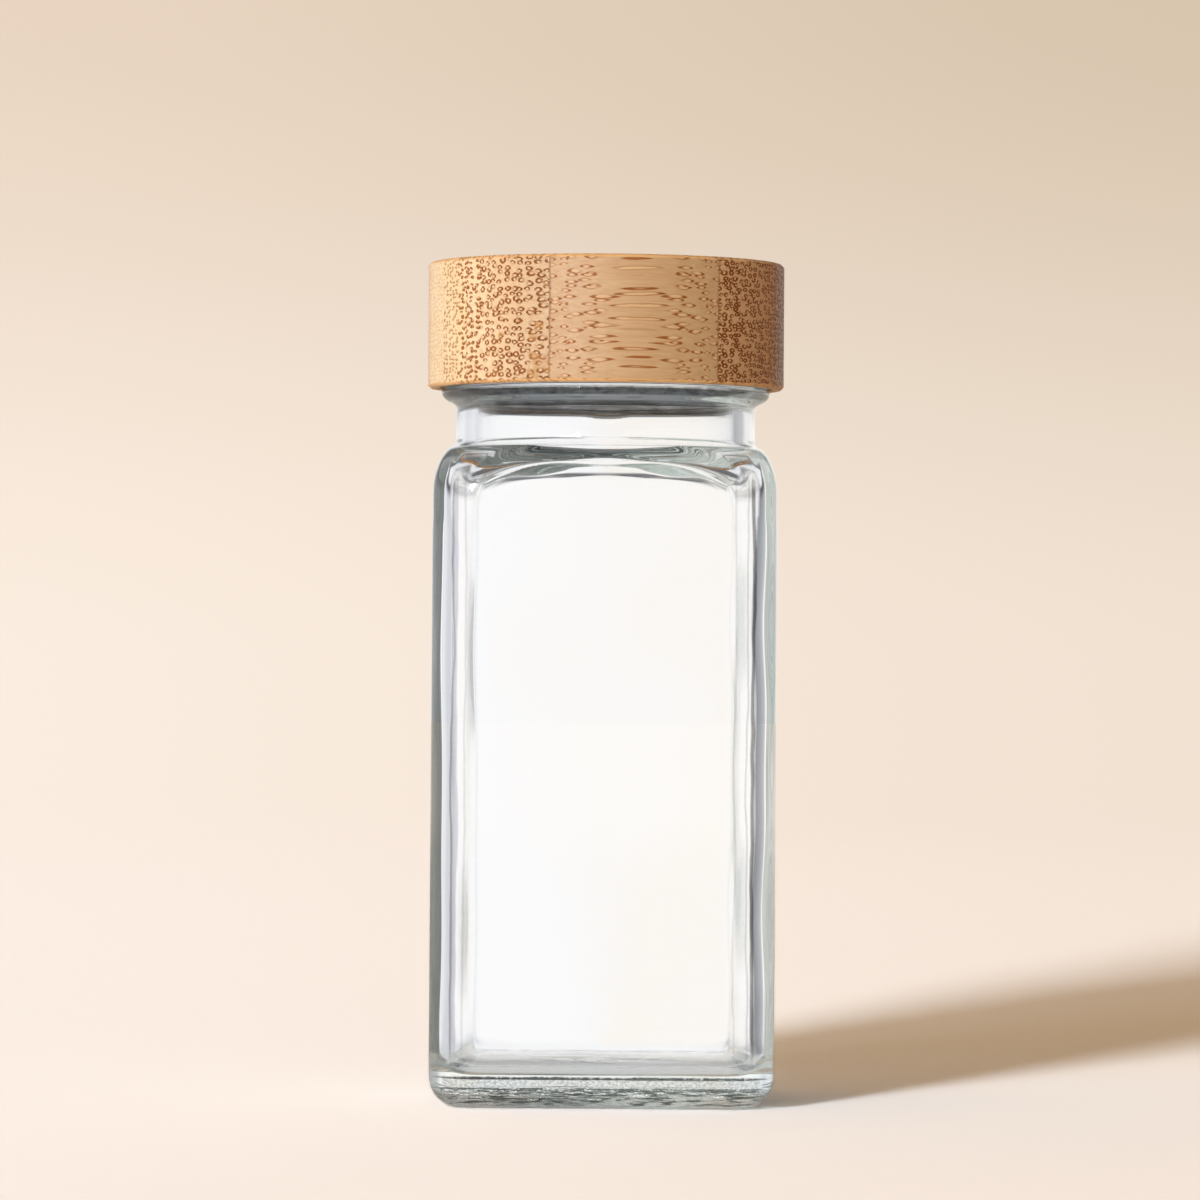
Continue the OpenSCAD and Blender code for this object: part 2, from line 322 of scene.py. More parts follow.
def glass_rings(s):
    """Rings from the middle of the base out, up to the rim, and down the inside to the cavity's floor."""
    t = ring_angles()
    rings = []
    half, corner, heel = s.half_width, s.corner, s.heel
    hollow, depth = 15 * MM, 0.8 * MM
    for i in range(1, 11):  # hollow under the base
        r = hollow * i / 10
        rings.append(ring_at(t, r, depth * (1 - (i / 10) ** 2)))
    foot = rounded_square(t, half - heel, corner - heel)
    rings.append(ring_at(t, (foot + hollow) / 2, 0))
    for i in range(13):  # heel
        a = math.radians(90 * i / 12)
        grow = heel * math.sin(a) - heel
        rings.append(ring_at(t, rounded_square(t, half + grow, corner + grow), heel * (1 - math.cos(a))))
    body = rounded_square(t, half, corner)
    dome_z = s.shoulder_top - s.shoulder
    bulge = 0.45 * MM  # how far the dome would pass the upright corners
    dome_r = (half - corner) * math.sqrt(2) + corner + bulge - s.shoulder
    ridge, soft_ridge, crease = 0.4 * MM, 1.3 * MM, 0.3 * MM  # roundings where the forms meet
    rings += [ring_at(t, body, z) for z in np.linspace(heel + 1.2 * MM, dome_z - 2 * MM, 30)]  # walls
    # the shoulder: the square body, the arched panels and the dome run into one another up to the neck's fillet
    fillet = 1.0 * MM
    rise = math.sqrt((s.shoulder + fillet) ** 2 - (s.neck + fillet - dome_r) ** 2)
    touch = math.degrees(math.atan2(rise, s.neck + fillet - dome_r))
    square = np.maximum(np.abs(np.cos(t)), np.abs(np.sin(t)))
    for r, z in arc((dome_r, dome_z), s.shoulder, 0, touch, 44):
        flat = (half - curve_in(z, s.shoulder_top, s.panel_top)) / square
        shape = soft_least(soft_least(body, flat, ridge), r, soft_ridge * min(1, (r - s.neck) / (2 * MM)))
        rings.append(ring_at(t, np.maximum(shape, s.neck), z))
    centre = (s.neck + fillet, dome_z + rise)
    for r, z in arc(centre, fillet, touch + 180, 180, 8)[1:]:
        flat = (half - curve_in(z, s.shoulder_top, s.panel_top)) / square
        rings.append(ring_at(t, np.maximum(soft_least(flat, r, crease), s.neck), z))
    nose = 0.5 * MM  # radius of the bead's nose
    out, under = s.neck + BEAD_REACH, s.bead_top - nose
    bead = [(out - dr * MM, under - dz * MM) for dr, dz in BEAD_SLOPE]
    bead += arc((out - nose, under), nose, 0, 90, 8)
    bead += [(out - 1.2 * MM, s.bead_top), (s.neck + 0.25 * MM, s.bead_top)]
    bead += [(s.neck + 0.05 * MM, s.bead_top + 0.06 * MM), (s.neck, s.bead_top + 0.25 * MM)]
    rings += [ring_at(t, r, z) for r, z in bead]
    edge = 0.8 * MM
    for z in np.linspace(s.bead_top + 0.42 * MM, s.rim - edge, 52):  # neck with its thread
        out = helix_height(t, z, s.bead_top + THREAD_START, s.thread_pitch, 1.5, 0, s.thread_depth)
        rings.append(ring_at(t, s.neck + out, z))
    rim = arc((s.neck - edge, s.rim - edge), edge, 0, 90, 7)[1:] + arc((s.bore + edge, s.rim - edge), edge, 90, 180, 7)
    rings += [ring_at(t, r, z) for r, z in rim]
    # the cavity: the bore, its lip, the shoulder, the walls, the heel and the floor
    cave_half, cave_corner, cave_heel = half - s.wall, 4.2 * MM, 3.0 * MM
    cave_shoulder, lip = s.shoulder - s.wall, s.lip
    bore_end = dome_z + cave_shoulder + lip + 0.8 * MM
    rings += [ring_at(t, s.bore, z) for z in np.linspace(s.rim - 2 * edge, bore_end, 14)]
    inside = rounded_square(t, cave_half, cave_corner)
    join_up = math.degrees(math.acos(min(1, (s.bore + lip - dome_r) / (cave_shoulder + lip))))
    centre = (s.bore + lip, dome_z + (cave_shoulder + lip) * math.sin(math.radians(join_up)))
    for r, z in arc(centre, lip, 180, 180 + join_up, 14):
        flat = (cave_half - curve_in(z, s.shoulder_top, s.panel_top - s.wall)) / square
        rings.append(ring_at(t, np.maximum(soft_least(flat, r, crease), s.bore), z))
    for r, z in arc((dome_r, dome_z), cave_shoulder, join_up, 0, 36)[1:]:
        flat = (cave_half - curve_in(z, s.shoulder_top, s.panel_top - s.wall)) / square
        shape = soft_least(soft_least(inside, flat, ridge), r, 1.6 * MM)
        rings.append(ring_at(t, shape + wander(t, z, s.ripple), z))
    for z in np.linspace(dome_z - 1.2 * MM, s.floor + cave_heel, 56):
        rings.append(ring_at(t, inside + wander(t, z, s.ripple), z))
    for i in range(1, 11):
        a = math.radians(90 * i / 10)
        shrink = cave_heel * (1 - math.cos(a))
        wall = rounded_square(t, cave_half - shrink, cave_corner - shrink)
        rings.append(ring_at(t, wall, s.floor + cave_heel * (1 - math.sin(a))))
    last = rounded_square(t, cave_half - cave_heel, cave_corner - cave_heel)
    dip, unevenness = 0.25 * MM, 0.10 * MM  # of the cavity's floor
    for i in range(1, 12):
        share = 1 - i / 12
        uneven = unevenness * np.sin(3 * t + i / 2) * share * (1 - share) * 4
        rings.append(ring_at(t, last * share, s.floor + uneven - dip * (1 - share) ** 2))
    return rings, (0, 0, depth), (0, 0, s.floor - dip)


# ---------------------------------------------------------------- materials


class Num:
    """A number on its way through a material: arithmetic on it adds Math nodes."""

    def __init__(self, tree, socket):
        self.tree, self.socket = tree, socket

    def math(self, operation, *values):
        node = self.tree.nodes.new("ShaderNodeMath")
        node.operation = operation
        for socket, value in zip(node.inputs, values):
            plug(self.tree, socket, value)
        return Num(self.tree, node.outputs[0])

    def __add__(self, other):
        return self.math("ADD", self, other)

    __radd__ = __add__

    def __sub__(self, other):
        return self.math("SUBTRACT", self, other)

    def __rsub__(self, other):
        return self.math("SUBTRACT", other, self)

    def __mul__(self, other):
        return self.math("MULTIPLY", self, other)

    __rmul__ = __mul__

    def __truediv__(self, other):
        return self.math("DIVIDE", self, other)

    def __pow__(self, other):
        return self.math("POWER", self, other)

    def __abs__(self):
        return self.math("ABSOLUTE", self)

    def least(self, other):
        return self.math("MINIMUM", self, other)

    def most(self, other):
        return self.math("MAXIMUM", self, other)

    def band(self, foot, low, high, head):
        """0 outside foot and head, 1 between low and high."""
        return self.step(foot, low) * self.step(head, high)

    def step(self, low, high):
        """0 below low, 1 above high and smooth between, or the other way round where low is the larger."""
        node = self.tree.nodes.new("ShaderNodeMapRange")
        node.interpolation_type = "SMOOTHSTEP"
        backwards = not isinstance(low, Num) and not isinstance(high, Num) and low > high
        if backwards:
            low, high = high, low
        for name, value in (("Value", self), ("From Min", low), ("From Max", high)):
            plug(self.tree, node.inputs[name], value)
        node.inputs["To Min"].default_value = 1.0 if backwards else 0.0
        node.inputs["To Max"].default_value = 0.0 if backwards else 1.0
        return Num(self.tree, node.outputs["Result"])


def plug(tree, socket, value):
    """Links a value from another node, or sets a plain one."""
    if isinstance(value, Num):
        tree.links.new(value.socket, socket)
    elif isinstance(value, bpy.types.NodeSocket):
        tree.links.new(value, socket)
    elif socket.type == "RGBA" and len(value) == 3:
        socket.default_value = (*value, 1)
    else:
        socket.default_value = value


class Finish:
    """A material, a lamp's or the world's nodes."""

    def __init__(self, owner):
        owner.use_nodes = True
        self.owner, self.tree = owner, owner.node_tree
        self.tree.nodes.clear()

    def node(self, kind, settings=None, sockets=None):
        """One node: its settings first, then the values or links of its sockets. Returns its outputs."""
        node = self.tree.nodes.new("ShaderNode" + kind)
        for key, value in (settings or {}).items():
            if key == "stops":
                ramp = node.color_ramp.elements
                while len(ramp) < len(value):
                    ramp.new(1)
                for element, (place, colour) in zip(ramp, value):
                    element.position, element.color = place, (*colour, 1)
            else:
                setattr(node, key, value)
        for key, value in (sockets or {}).items():
            plug(self.tree, node.inputs[key], value)
        return node.outputs

    def num(self, kind, output, settings=None, sockets=None):
        return Num(self.tree, self.node(kind, settings, sockets)[output])

    def times(self, a, b):
        """One colour multiplied by another."""
        return self.mix(1.0, a, b, "MULTIPLY")

    def mix(self, factor, a, b, blend="MIX"):
        """Colour a where factor is 0, and b where it is 1."""
        node = self.tree.nodes.new("ShaderNodeMix")
        node.data_type, node.blend_type = "RGBA", blend
        for socket, value in zip((node.inputs[0], node.inputs[6], node.inputs[7]), (factor, a, b)):
            plug(self.tree, socket, value)
        return node.outputs[2]

    def vector(self, operation, a, b):
        return self.node("VectorMath", {"operation": operation}, {0: a, 1: b})[0]

    def place(self):
        return self.node("TexCoord")["Object"]

    def split(self, vector):
        outputs = self.node("SeparateXYZ", None, {0: vector})
        return [Num(self.tree, o) for o in outputs]

    def join(self, x, y, z):
        return self.node("CombineXYZ", None, {0: x, 1: y, 2: z})[0]

    def noise(self, vector, scale, detail=2.0, rough=0.5, distortion=0.0):
        return self.num("TexNoise", "Fac", None, {
            "Vector": vector, "Scale": scale, "Detail": detail, "Roughness": rough, "Distortion": distortion,
        })

    def bump(self, height, distance):
        return self.node("Bump", None, {"Height": height, "Distance": distance, "Strength": 1.0})[0]

    def surface(self, shader, volume=None):
        kind = "World" if isinstance(self.owner, bpy.types.World) else "Material"
        out = self.tree.nodes.new("ShaderNodeOutput" + kind)
        self.tree.links.new(shader, out.inputs["Surface"])
        if volume is not None:
            self.tree.links.new(volume, out.inputs["Volume"])
        return self.owner


def new_finish(name):
    return Finish(bpy.data.materials.new(name))


# Painted shade: upright dark lines in the front wall near its corners: (x in metres, half width, tint, seed)
EDGE_SHADE_LINES = (
    (-0.0191, 0.0005, (0.50, 0.48, 0.56), 0.0),
    (-0.0194, 0.0002, (0.26, 0.26, 0.26), 0.2),
    (-0.0178, 0.0002, (0.7, 0.7, 0.75), 0.9),
    (0.0191, 0.00034, (0.12, 0.115, 0.12), 0.4),
    (0.0184, 0.00018, (0.6, 0.6, 0.6), 0.5),
    (0.0168, 0.0002, (0.72, 0.72, 0.72), 0.6),
)
EDGE_SHADE_DRIFT = 0.0017  # how far a painted shade line strays sideways on its way up, in metres
# Tints of painted shade in the glass: the bead's under side, the neck below it, the heel's marks and a band over the
# heel
BEAD_SHADE_TINT, NECK_SHADE_TINT = (0.015, 0.0155, 0.017), (0.17, 0.17, 0.175)
HEEL_MARK_SHADE_TINT, HEEL_BAND_TINT = (0.03, 0.038, 0.035), (0.16, 0.16, 0.165)
# Painted glow: the greys that long paths in the walls end in, darker at the jar's left than at its right, and the
# gains of the streaks across it
LEFT_PAINTED_GLOW, RIGHT_PAINTED_GLOW = (0.19, 0.20, 0.19), (0.56, 0.58, 0.55)
GLOW_STREAK_DARK, GLOW_STREAK_LIGHT = (0.66, 0.67, 0.66), (1.3, 1.3, 1.3)


def clear_glass(s):
    """Clear glass with the slow swell of pressing and a stippled heel, with painted shade in its colour.

    Paths that stay in the wall for many bounces end in a painted grey glow, darker at the jar's left than at its
    right. All heights are in metres.
    """
    f = new_finish("clear pressed glass")
    place = f.place()
    x, y, z = f.split(place)
    far = (x * x + y * y) ** 0.5
    rear = y.step(-0.004, 0.004)
    heel = z.step(0.0030, 0.0020)
    swell = f.noise(f.join(x, y, z * 0.35), 60, 1)
    pimple = f.noise(place, 2300, 1)
    streaks = f.noise(f.join(x, y, z * 5), 330, 2)
    foot = z.step(0.0006, 0.0001)
    height = swell * 0.00003 + heel * (pimple * (rear * 0.0002 + 0.00012) + streaks * 0.00030 * (1 - foot))
    front, side = 1 - rear, abs(x)
    # painted shade: the bead's under side is painted near black
    bead = (z + rear * 0.0006).step(0.0915, 0.0918) * z.step(0.0930, 0.0927) * far.step(0.0194, 0.01955)
    bead = bead * (f.noise(f.join(x, y, z * 2), 700, 3, 0.6).step(0.25, 0.8) * 0.3 + 0.7)
    # painted shade: the front of the neck below the bead is painted dark grey
    neck_shade = z.band(0.0891, 0.0894, 0.0909, 0.0911) * front * side.step(0.0150, 0.0138)
    neck_shade = neck_shade * (f.noise(f.join(x * 0.3, y * 0.3, z), 900, 3, 0.6).step(0.75, 0.3) * 0.5 + 0.5)
    # the mould's streaky marks round the heel: the marks are real, their dark colour is painted shade; also painted
    # shade at the heel's two ends
    heel_marks_and_shade = f.noise(f.join(x * 0.11, y * 0.11, z), 3600, 3, 0.6, 0.6).step(0.42, 0.58) * z.step(0.0032, 0.0025)
    heel_marks_and_shade = (heel_marks_and_shade * (1 - foot)).most(side.step(0.0170, 0.0215) * z.step(0.0030, 0.0018) * 0.6)
    # painted shade on the front panel's outside alone: a grey band over the front of the heel, and upright dark lines
    # near the corners
    skin = y.step(-0.0203, -0.0208)
    heel_shade_band = z.band(0.0020, 0.0027, 0.0040, 0.0043) * skin
    heel_shade_band = heel_shade_band * (f.noise(f.join(x, y, z * 1.6), 2400, 3, 0.7).step(0.3, 0.7) * 0.6 + 0.3)
    wall = z.band(0.0050, 0.0090, 0.0790, 0.0830) * skin
    glass_with_painted_shade = f.mix(bead, tuple(s.glass), BEAD_SHADE_TINT)
    glass_with_painted_shade = f.mix(neck_shade, glass_with_painted_shade, NECK_SHADE_TINT)
    glass_with_painted_shade = f.mix(heel_marks_and_shade * (1 - rear * 0.5), glass_with_painted_shade, HEEL_MARK_SHADE_TINT)
    glass_with_painted_shade = f.mix(heel_shade_band, glass_with_painted_shade, HEEL_BAND_TINT)
    # painted shade: each upright line darkens the glass's colour
    for line, half, shade, seed in EDGE_SHADE_LINES:
        along = f.join(seed, 0.0, z)
        off = x - line + (f.noise(along, 40, 3, 0.6) - 0.5) * EDGE_SHADE_DRIFT
        width = (f.noise(along, 95, 2) + 0.5) * half
        glass_with_painted_shade = f.mix(abs(off).step(width, width * 0.4) * wall, glass_with_painted_shade, shade)
    glass = f.node("BsdfPrincipled", None, {
        "Base Color": glass_with_painted_shade, "Roughness": 0.0, "IOR": 1.52, "Transmission Weight": 1.0,
        "Normal": f.bump(height, 1.0),
    })[0]
    # light for the shadow passes straight through, mostly at the thick base
    path = f.node("LightPath")
    lamp = Num(f.tree, path["Is Shadow Ray"])
    base = z.band(0.0003, 0.0009, 0.0036, 0.0046)
    clear = f.node("BsdfTransparent", None, {"Color": (0.93, 0.97, 0.96)})[0]
    mixed = f.node("MixShader", None, {0: lamp * (0.10 + base * 0.75), 1: glass, 2: clear})[0]
    # paths end from the third reflection or the eleventh surface on
    trapped = Num(f.tree, path["Glossy Depth"]).step(2.9, 3.1).most(Num(f.tree, path["Ray Depth"]).step(10.4, 10.6))
    # painted glow: the glass glows grey where paths end, darker at the jar's left than at its right, with streaks
    # across it
    glow_streak = f.noise(f.join(x, y, z * 0.05), 1100, 3, 0.6).step(0.35, 0.65)
    grey = f.mix(x.step(-0.012, 0.012), LEFT_PAINTED_GLOW, RIGHT_PAINTED_GLOW)
    grey = f.mix(glow_streak, f.times(grey, GLOW_STREAK_DARK), f.times(grey, GLOW_STREAK_LIGHT))
    grey = f.node("Emission", None, {"Color": grey, "Strength": 1.0})[0]
    mixed = f.node("MixShader", None, {0: trapped, 1: mixed, 2: grey})[0]
    body = f.node("VolumeAbsorption", None, {"Color": (0.80, 0.93, 0.88), "Density": 9.0})[0]
    return f.surface(mixed, body)


def moulded_plastic(name, colour, rough):
    """Moulded plastic with a faint cloudiness and a fine grain."""
    f = new_finish(name)
    place = f.place()
    cloud = f.noise(place, 90, 3)
    grain = f.noise(place, 2600, 2)
    base = f.mix(cloud.step(0.3, 0.75), tuple(c * 0.93 for c in colour), tuple(colour))
    shader = f.node("BsdfPrincipled", None, {
        "Base Color": base, "Roughness": grain * 0.16 + (rough - 0.08),
        "Subsurface Weight": 0.25, "Subsurface Radius": (0.002, 0.002, 0.002), "Subsurface Scale": 1.0,
        "Normal": f.bump(grain + cloud * 2, 0.00001),
    })[0]
    return f.surface(shader)


def bundles(f, deep, up, offset, worn, spacing, reach, hollow, lobed, spiky, span):
    """Fibre bundles cut across: brown lobes round a pale core. Returns (brown, pale), 0 to 1.

    deep and up are in mm, and worn frays the outlines. Only the bundles whose middle lies within the span of depths
    are drawn, so none is cut off where the sizes change.
    """
    wide, tall = spacing
    cells = f.join((deep + offset) / wide, (up + offset) / tall, 0.0)
    found = f.node("TexVoronoi", {"voronoi_dimensions": "2D", "feature": "F1"}, {
        "Vector": cells, "Scale": 1.0, "Randomness": 0.7,
    })
    far = Num(f.tree, found["Distance"])
    chance, other, _ = f.split(found["Color"])
    across, upward, _ = f.split(f.vector("SUBTRACT", cells, found["Position"]))
    middle = f.split(found["Position"])[0] * wide - offset
    here = middle.step(span[0], span[0] + 0.02) * middle.step(span[1] + 0.02, span[1])
    square = far * far + 0.0004
    ends = across * across / square
    shape = far
    if spiky:
        shape = (abs(across) + abs(upward)) * 0.55 + far * 0.4
    q = shape / ((chance * 0.4 + 0.8) * reach) + worn * (0.25 if spiky else 0.5)
    ring = q.step(1.12, 0.9) * q.step(hollow - 0.08, hollow + 0.16)
    open_side = ((across * (other - 0.5) + upward * (chance - 0.5)) / square ** 0.5).step(0.34, 0.06)
    if spiky:
        lobes = ends.step(0.55, 0.92) * 0.6 + 0.4
    else:
        four = ends * 2 - 1
        lobes = (four * four).step(0.1, 0.6) * (1 - other) + ends.step(0.2, 0.6) * other
        lobes = lobes * lobed + (1 - lobed)
    return ring * lobes * (open_side * 0.75 + 0.25) * here, q.step(hollow + 0.1, hollow - 0.1) * here


EVERYWHERE = (-30, 30)
# Sizes of bundles: (spacing in depth and height in mm, reach, hollow, lobed, spiky, the depths in mm where they are
# found, how strongly they show)
LEFT_SIDE = (
    ((0.76, 0.82), 0.42, 0.38, 0.4, False, (18.0, 30), 1.3),
    ((0.78, 0.86), 0.41, 0.34, 0.6, False, (13.8, 18.0), 1.5),
    ((0.78, 0.64), 0.38, 0.05, 0.5, False, (10.0, 13.8), 1.6),
    ((0.76, 0.56), 0.35, 0.05, 0.4, False, (6.4, 10.0), 0.8),
    ((0.72, 0.52), 0.32, 0.05, 0.3, False, (-30, 6.4), 0.35),
)
RIGHT_SIDE = (
    ((0.54, 0.66), 0.46, 0.32, 0.35, False, (18.8, 30), 1.8),
    ((0.70, 0.66), 0.43, 0.30, 0.4, False, (15.0, 18.8), 1.35),
    ((0.84, 0.54), 0.42, 0.26, 0.4, False, (-30, 15.0), 1.15),
)
FRONT = (
    ((0.94, 0.98), 0.32, 0.52, 0.0, True, EVERYWHERE, 1.25),
    ((1.4, 1.7), 0.17, 0.5, 0.0, True, EVERYWHERE, 1.1),
)
BACK = (((0.8, 0.8), 0.36, 0.4, 0.4, False, EVERYWHERE, 0.9),)
# Each strip's bundles in its left and its right half, then the ground's (front, back) colours in each half.
# The grounds hold each strip's own tone and painted light and shade: in strips 1 to 4 the left halves are painted
# lighter, as lit, and the right halves darker, as shaded
GRAIN_AND_PAINTED_LIGHT = (
    (FRONT, FRONT, ((0.63, 0.405, 0.21), (0.65, 0.42, 0.24)), ((0.56, 0.345, 0.17), (0.58, 0.355, 0.175))),
    (LEFT_SIDE, RIGHT_SIDE, ((0.70, 0.48, 0.29), (0.98, 0.71, 0.45)), ((0.63, 0.37, 0.18), (0.74, 0.395, 0.165))),
    (LEFT_SIDE, RIGHT_SIDE[1:], ((1.0, 0.72, 0.43), (1.0, 0.80, 0.53)), ((0.66, 0.455, 0.33), (0.66, 0.455, 0.33))),
    (LEFT_SIDE[4:], BACK, ((1.0, 0.80, 0.55), (0.80, 0.52, 0.29)), ((0.62, 0.38, 0.19),) * 2),
    (BACK, BACK, ((0.64, 0.39, 0.19),) * 2, ((0.70, 0.44, 0.22),) * 2),
    (FRONT, FRONT, ((0.70, 0.45, 0.23),) * 2, ((0.66, 0.41, 0.20),) * 2),
)
# Tints and colours of the bamboo
STREAK_TINT, CLOUD_TINT = (0.86, 0.80, 0.72), (0.93, 0.84, 0.72)
EDGE_COLOUR, CORE_COLOUR = (0.95, 0.52, 0.20), (1.0, 0.64, 0.30)
GLUE_COLOUR, SMEAR_COLOUR = (0.26, 0.12, 0.05), (0.50, 0.235, 0.065)
FIBRE_LIGHT, LYING_LIGHT = (0.48, 0.24, 0.07), (0.62, 0.36, 0.14)
LYING_GAIN = 1.7  # bundles that lie along the surface look lighter than their cut ends
PER_METRE = 1000  # mm in a metre


def bamboo(name, s, index):
    """Fibre bundles run along the strips; their ends show as rings where the turned face cuts across them."""
    f = new_finish(name)
    x, y, z = f.split(f.place())
    # all in mm: towards the front face of the block, along the strips to the right, and up
    deep = (x * math.sin(s.turn) - y * math.cos(s.turn)) * PER_METRE
    along = (x * math.cos(s.turn) + y * math.sin(s.turn)) * PER_METRE
    up = z * PER_METRE
    thick = s.strip * PER_METRE
    front_line = (s.radius - s.face_strip) * PER_METRE  # depth of the first glue line
    behind, before = front_line - index * thick, front_line - (index - 1) * thick  # this strip's glue lines
    shift = 17.3 * index + 4.1  # gives each strip a pattern of its own
    drift = f.join(along * 0.07 + shift, deep * 0.25, up * 0.25)
    u = deep + (f.noise(drift, 1.0, 2) - 0.5) * 0.6
    v = up + (f.noise(drift, 1.7, 2) - 0.5) * 0.7
    right = along.step(-10.0, 6.0)
    near = deep.step(behind, before)
    worn = f.noise(f.join(along * 0.15 + shift, deep, up), 4.5, 1) - 0.5
    sides = GRAIN_AND_PAINTED_LIGHT[index][:2]
    if sides[0] is sides[1]:
        sides = sides[:1]
    found = []
    for k, sizes in enumerate(sides):
        brown = pale = 0.0
        for *shape, span, show in sizes:
            if span[1] < behind or span[0] > before + 3:
                continue
            b, p = bundles(f, u, v, shift + 31.7 * k, worn, *shape, span)
            brown, pale = b * show + brown, p * show + pale
        found.append((brown, pale))
    brown, pale = found[0]
    if len(found) == 2:
        brown = brown + (found[1][0] - brown) * right
        pale = pale + (found[1][1] - pale) * right
    edge = (up - s.high * PER_METRE + 0.5).step(0.0, 0.2).most((s.low * PER_METRE + 0.46 - up).step(0.0, 0.2))
    brown, pale = (brown * (1 - edge * 0.55)).least(1.0), pale * (1 - edge * 0.55)
    streak = f.noise(f.join(along * 0.07, deep * 2.6 + shift, up * 2.6), 1.0, 5, 0.62)
    hair = f.noise(f.join(along * 0.16, deep * 9 + shift, up * 9), 1.0, 3, 0.6)
    cloud = f.noise(f.join(along * 0.1, deep * 0.35 + shift, up * 0.35), 1.0, 3)
    # painted light and shade: the left half's ground is lighter, the right half's darker
    grounds = [f.mix(near, back, front) for front, back in GRAIN_AND_PAINTED_LIGHT[index][2:]]
    ground = f.mix(right, *grounds)
    ground = f.mix(streak.step(0.28, 0.72) * 0.8, f.times(ground, STREAK_TINT), ground)
    ground = f.mix(cloud.step(0.3, 0.7) * 0.35, ground, f.times(ground, CLOUD_TINT))
    ground = f.mix(edge * 0.75, ground, EDGE_COLOUR)
    ground = f.mix(pale, ground, f.mix(0.2, ground, CORE_COLOUR))
    lying = GRAIN_AND_PAINTED_LIGHT[index][0] is FRONT
    fibre = (bright(s.dark, LYING_GAIN), LYING_LIGHT) if lying else (tuple(s.dark), FIBRE_LIGHT)
    fibre = f.mix(hair.step(0.35, 0.65), *fibre)
    colour = f.mix(brown, ground, f.times(ground, fibre))
    torn = f.noise(f.join(along * 0.4, 0.0, up), 0.6, 3) - 0.5
    for k in range(len(STRIPS) - 1):  # the glue lines: the first shows most, the others mainly at the right
        if index in (k, k + 1):
            off = deep - (front_line - k * thick) + torn * 0.22
            line = abs(off).step(0.10, 0.02) * (0.6 if k == 0 else 0.12)
            if k > 0:
                line = line * (right * 4 + 1)
            colour = f.mix(line, colour, GLUE_COLOUR)
    if index == 1:  # brown smears by the first glue line's left end
        spots = abs(up - 99.7).step(1.7, 0.7).most(abs(up - 95.3).step(2.2, 1.0))
        blot = f.noise(f.join(along * 0.4, deep * 0.9, up * 0.6), 1.0, 3, 0.6)
        blot = blot + spots * (deep - 18.4).step(0.0, 1.2) * 0.2
        smear = blot.step(0.63, 0.70) * (along + 2).step(0.5, -0.5)
        colour = f.mix(smear * 0.5, colour, SMEAR_COLOUR)
    shader = f.node("BsdfPrincipled", None, {
        "Base Color": colour, "Roughness": streak * 0.12 + 0.42, "Specular IOR Level": 0.16,
        "Normal": f.bump(hair * 0.5 + streak - brown * 0.8 + pale * 0.3, 0.00003),
    })[0]
    return f.surface(shader)


# What stands round the table, for glass and gloss: (degrees from straight behind the jar, colour)
ROOM = (
    (-180, (0.50, 0.50, 0.52)), (-120, (0.57, 0.58, 0.60)), (-62, (0.64, 0.65, 0.69)), (-42, (0.82, 0.83, 0.87)),
    (-30, (0.72, 0.73, 0.77)), (-22, (0.92, 0.92, 0.95)), (-14, (1.0, 1.0, 1.0)), (-1.5, (0.99, 0.985, 1.0)),
    (1.2, (0.99, 0.95, 0.90)), (18, (1.0, 0.965, 0.935)), (27, (0.90, 0.88, 0.87)), (34, (0.52, 0.51, 0.52)),
    (50, (0.41, 0.42, 0.45)), (65, (0.31, 0.32, 0.345)), (77, (0.24, 0.245, 0.26)), (95, (0.36, 0.36, 0.38)),
    (180, (0.50, 0.50, 0.52)),
)
WHITE = 1.06  # the room's gain, as gloss and glass see it
FLOOR_GAIN = 1.85  # the paper's gain as the camera sees it; the light it bounces has none
# (left, right) gains of the paper and the horizon, and the right one at the top; the lower gains at the right are
# painted shade, darker where the light falls off
PAPER_SIDES = (1.01, 1.01, 1.01), (0.95, 0.925, 0.90)
HORIZON_SIDES = (1.02, 1.01, 1.01), (0.92, 0.895, 0.87)
TOP_RIGHT = (0.85, 0.84, 0.79)


def room(f, x, y):
    """The room's colour in the direction (x, y) over the floor."""
    turn = x.math("ARCTAN2", x, y) / math.tau + 0.5
    stops = [(degrees / 360 + 0.5, colour) for degrees, colour in ROOM]
    return f.node("ValToRGB", {"stops": stops}, {"Fac": turn})[0]


def bright(colour, gain):
    """A plain colour made stronger."""
    return tuple(c * gain for c in colour)


